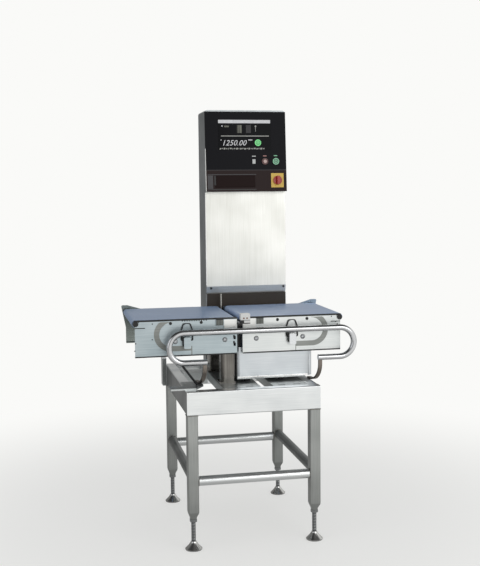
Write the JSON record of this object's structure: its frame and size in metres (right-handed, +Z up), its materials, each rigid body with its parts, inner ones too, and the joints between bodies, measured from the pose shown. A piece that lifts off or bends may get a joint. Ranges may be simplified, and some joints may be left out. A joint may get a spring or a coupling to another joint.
{
  "type": "checkweigher",
  "caption": "Checkweigher: infeed and weigh belt conveyors on a tube stand with levelling feet, a bent guard rail, a load cell unit and a tall cabinet with a sloping control panel.",
  "frame": {"origin": "on the floor, under the middle of the machine's outline", "axes": "+X along the belts from the infeed conveyor to the weigh conveyor, +Y from the operator's side to the cabinet, +Z up"},
  "size_m": [0.808, 0.649, 1.557],
  "materials": {
    "brushed_sheet": "fine vertical brushing",
    "brushed_tube": "brushed along the tube",
    "polished": "polished",
    "roller_steel": "turned",
    "black_steel": "black satin",
    "aluminium": "machined",
    "pale_cover": "pale satin",
    "dark_panel": "dark brown satin",
    "display": "smooth",
    "black_plastic": "satin",
    "white_plastic": "satin",
    "grey_plastic": "satin",
    "red_plastic": "smooth",
    "green_plastic": "smooth",
    "yellow_plastic": "smooth",
    "black_rubber": "matt",
    "blue_grey_belt": "smooth, slightly glossy"
  },
  "bodies": {
    "machine": {"leg_front_left": "brushed_tube", "leg_front_right": "brushed_tube", "leg_rear_left": "brushed_tube", "leg_rear_right": "brushed_tube", "top_beams": "brushed_tube", "lower_rails": "brushed_tube", "crossmembers": "brushed_tube", "infeed_support": "brushed_tube", "weigh_platform": "brushed_tube", "cabinet_plinth": "brushed_tube", "guard_tube": "polished", "guard_strap_left": "polished", "guard_strap_right": "polished", "housing_shell": "brushed_sheet", "housing_base": "brushed_sheet", "cabinet_shell": "brushed_sheet", "control_panel": "brushed_sheet", "rubber_feet": "black_rubber", "load_cell": "aluminium", "guard_stay": "black_steel", "infeed_front_plate": "brushed_sheet", "infeed_rear_plate": "brushed_sheet", "infeed_slider_bed": "brushed_sheet", "infeed_belt": "blue_grey_belt", "infeed_bearings": "black_plastic", "infeed_motor": "aluminium", "infeed_timing_belt": "black_rubber", "weigh_front_plate": "brushed_sheet", "weigh_rear_plate": "brushed_sheet", "weigh_slider_bed": "brushed_sheet", "weigh_belt": "blue_grey_belt", "weigh_bearings": "black_plastic", "weigh_motor": "aluminium", "weigh_timing_belt": "black_rubber", "sensor_bracket": "black_steel", "sensor_head": "white_plastic", "reflector_post": "black_steel", "front_cover": "pale_cover", "bezel": "dark_panel", "display_glass": "display", "switch_plate": "yellow_plastic", "electronics": "grey_plastic"},
    "foot_front_left": {"foot_front_left": "polished"},
    "foot_front_right": {"foot_front_right": "polished"},
    "foot_rear_left": {"foot_rear_left": "polished"},
    "foot_rear_right": {"foot_rear_right": "polished"},
    "infeed_drive_roller": {"infeed_drive_roller": "roller_steel"},
    "infeed_idler_roller": {"infeed_idler_roller": "roller_steel"},
    "infeed_motor_pulley": {"infeed_motor_pulley": "aluminium"},
    "infeed_lever": {"infeed_latch_lever": "brushed_sheet"},
    "infeed_bail": {"infeed_latch_bail": "black_steel"},
    "weigh_drive_roller": {"weigh_drive_roller": "roller_steel"},
    "weigh_idler_roller": {"weigh_idler_roller": "roller_steel"},
    "weigh_motor_pulley": {"weigh_motor_pulley": "aluminium"},
    "weigh_lever": {"weigh_latch_lever": "brushed_sheet"},
    "weigh_bail": {"weigh_latch_bail": "black_steel"},
    "stop_key": {"stop_key": "red_plastic"},
    "start_key": {"start_key": "green_plastic"},
    "flap": {"media_flap": "dark_panel"},
    "knob": {"switch_knob": "red_plastic"}
  },
  "joints": [
    {"name": "front_left_foot_screw", "type": "slide", "parent": "machine", "child": "foot_front_left", "axis": [0, 0, -1], "range_m": [0, 0.03]},
    {"name": "front_right_foot_screw", "type": "slide", "parent": "machine", "child": "foot_front_right", "axis": [0, 0, -1], "range_m": [0, 0.03]},
    {"name": "rear_left_foot_screw", "type": "slide", "parent": "machine", "child": "foot_rear_left", "axis": [0, 0, -1], "range_m": [0, 0.03]},
    {"name": "rear_right_foot_screw", "type": "slide", "parent": "machine", "child": "foot_rear_right", "axis": [0, 0, -1], "range_m": [0, 0.03]},
    {"name": "infeed_drive_roller_spin", "type": "hinge", "parent": "machine", "child": "infeed_drive_roller", "pos_m": [-0.039, -0.025, 0.787], "axis": [0, 1, 0], "continuous": true},
    {"name": "infeed_idler_roller_spin", "type": "hinge", "parent": "machine", "child": "infeed_idler_roller", "pos_m": [-0.384, -0.025, 0.787], "axis": [0, 1, 0], "continuous": true},
    {"name": "infeed_motor_pulley_spin", "type": "hinge", "parent": "machine", "child": "infeed_motor_pulley", "pos_m": [-0.108, -0.025, 0.733], "axis": [0, 1, 0], "continuous": true},
    {"name": "infeed_lever_hinge", "type": "hinge", "parent": "machine", "child": "infeed_lever", "pos_m": [-0.205, -0.217, 0.735], "axis": [-1, 0, 0], "range_deg": [0, 80]},
    {"name": "infeed_bail_hinge", "type": "hinge", "parent": "infeed_lever", "child": "infeed_bail", "pos_m": [-0.205, -0.217, 0.725], "axis": [-1, 0, 0], "range_deg": [-80, 0]},
    {"name": "weigh_drive_roller_spin", "type": "hinge", "parent": "machine", "child": "weigh_drive_roller", "pos_m": [0.009, -0.025, 0.787], "axis": [0, 1, 0], "continuous": true},
    {"name": "weigh_idler_roller_spin", "type": "hinge", "parent": "machine", "child": "weigh_idler_roller", "pos_m": [0.354, -0.025, 0.787], "axis": [0, 1, 0], "continuous": true},
    {"name": "weigh_motor_pulley_spin", "type": "hinge", "parent": "machine", "child": "weigh_motor_pulley", "pos_m": [0.078, -0.025, 0.733], "axis": [0, 1, 0], "continuous": true},
    {"name": "weigh_lever_hinge", "type": "hinge", "parent": "machine", "child": "weigh_lever", "pos_m": [0.175, -0.217, 0.735], "axis": [-1, 0, 0], "range_deg": [0, 80]},
    {"name": "weigh_bail_hinge", "type": "hinge", "parent": "weigh_lever", "child": "weigh_bail", "pos_m": [0.175, -0.217, 0.725], "axis": [-1, 0, 0], "range_deg": [-80, 0]},
    {"name": "stop_key_push", "type": "slide", "parent": "machine", "child": "stop_key", "axis": [0, 0.9972, -0.0745], "range_m": [0, 0.0025], "stiffness_N_per_m": 600, "springref_m": -0.0015},
    {"name": "start_key_push", "type": "slide", "parent": "machine", "child": "start_key", "axis": [0, 0.9972, -0.0745], "range_m": [0, 0.0025], "stiffness_N_per_m": 600, "springref_m": -0.0015},
    {"name": "media_flap_hinge", "type": "hinge", "parent": "machine", "child": "flap", "pos_m": [0.048, 0.14736, 1.26115], "axis": [1, 0, 0], "range_deg": [0, 90]},
    {"name": "main_switch_turn", "type": "hinge", "parent": "machine", "child": "knob", "pos_m": [0.214, 0.14488, 1.28567], "axis": [0, -0.9972, 0.0745], "range_deg": [0, 90]}
  ],
  "couplings": [
    {"joint": "infeed_idler_roller_spin", "follows": "infeed_drive_roller_spin", "ratio": 1},
    {"joint": "infeed_motor_pulley_spin", "follows": "infeed_drive_roller_spin", "ratio": 1},
    {"joint": "infeed_bail_hinge", "follows": "infeed_lever_hinge", "ratio": -1},
    {"joint": "weigh_idler_roller_spin", "follows": "weigh_drive_roller_spin", "ratio": 1},
    {"joint": "weigh_motor_pulley_spin", "follows": "weigh_drive_roller_spin", "ratio": 1},
    {"joint": "weigh_bail_hinge", "follows": "weigh_lever_hinge", "ratio": -1}
  ]
}
